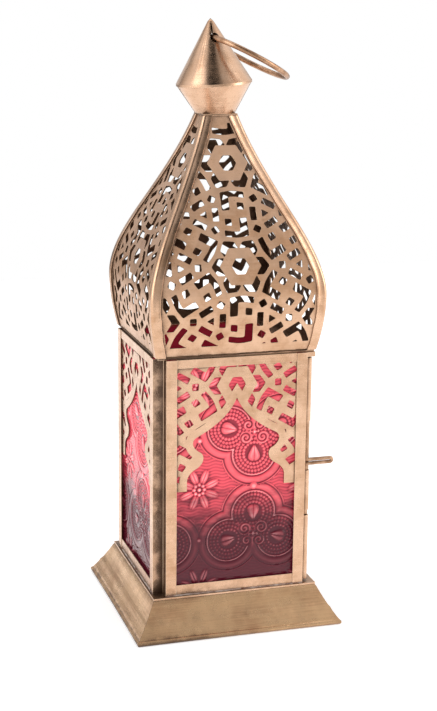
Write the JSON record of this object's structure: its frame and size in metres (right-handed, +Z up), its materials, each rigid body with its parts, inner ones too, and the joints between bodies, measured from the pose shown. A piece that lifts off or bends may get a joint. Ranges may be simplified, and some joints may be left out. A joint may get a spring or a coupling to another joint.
{
  "type": "candle lantern",
  "caption": "Square brass candle lantern with red embossed glass, pierced arch screens, a hinged door with a sliding wire bolt, a pierced onion dome and a hanging ring.",
  "frame": {"origin": "centre of the base on the surface that it stands on", "axes": "+Z up, -Y out of the front face, +X out of the door"},
  "size_m": [0.089, 0.089, 0.2501],
  "materials": {
    "brass_sheet": "antiqued satin brass sheet, brushed and lightly mottled, pale along the folds",
    "brass_inner": "darker unpolished brass of the inner and soldered pieces",
    "brass_wire": "darkened drawn brass wire",
    "red_glass": "translucent red pressed glass with an embossed pattern"
  },
  "bodies": {
    "body": {"base_skirt_front": "brass_sheet", "base_skirt_right": "brass_sheet", "base_skirt_back": "brass_sheet", "base_skirt_left": "brass_sheet", "floor_plate": "brass_sheet", "candle_cup": "brass_inner", "post_front_left": "brass_sheet", "post_back_left": "brass_sheet", "post_front_right": "brass_sheet", "post_back_right": "brass_sheet", "rail_bottom_front": "brass_sheet", "rail_bottom_back": "brass_sheet", "rail_bottom_left": "brass_sheet", "rail_top_front": "brass_sheet", "rail_top_back": "brass_sheet", "rail_top_left": "brass_sheet", "door_sill": "brass_sheet", "door_header": "brass_sheet", "glass_front": "red_glass", "glass_back": "red_glass", "glass_left": "red_glass", "screen_front": "brass_sheet", "screen_back": "brass_sheet", "screen_left": "brass_sheet", "glazing_clips": "brass_inner", "eaves_plate": "brass_inner", "dome_front": "brass_sheet", "dome_right": "brass_sheet", "dome_back": "brass_sheet", "dome_left": "brass_sheet", "rib_front_left": "brass_sheet", "rib_front_right": "brass_sheet", "rib_back_right": "brass_sheet", "rib_back_left": "brass_sheet", "dome_crown": "brass_inner", "finial_collar": "brass_sheet", "finial_cone": "brass_sheet", "bolt_keeper": "brass_sheet", "hinge_post_knuckles": "brass_sheet", "hinge_pins": "brass_wire"},
    "door": {"door_frame": "brass_sheet", "glass_door": "red_glass", "screen_door": "brass_sheet", "door_clips": "brass_inner", "hinge_door_knuckles": "brass_sheet", "guide_upper": "brass_sheet", "guide_lower": "brass_sheet"},
    "bolt": {"latch_bolt": "brass_wire"},
    "ring": {"hanging_ring": "brass_wire"}
  },
  "joints": [
    {"name": "door_hinge", "type": "hinge", "parent": "body", "child": "door", "pos_m": [0.0322, 0.0317, 0.065], "axis": [0, 0, 1], "range_deg": [0, 110]},
    {"name": "bolt_slide", "type": "slide", "parent": "door", "child": "bolt", "axis": [0, 0, 1], "range_m": [-0.0019, 0.016]},
    {"name": "ring_swing", "type": "hinge", "parent": "body", "child": "ring", "pos_m": [-0.00216, 0, 0.24252], "axis": [0, 1, 0], "range_deg": [-262, 20]}
  ]
}
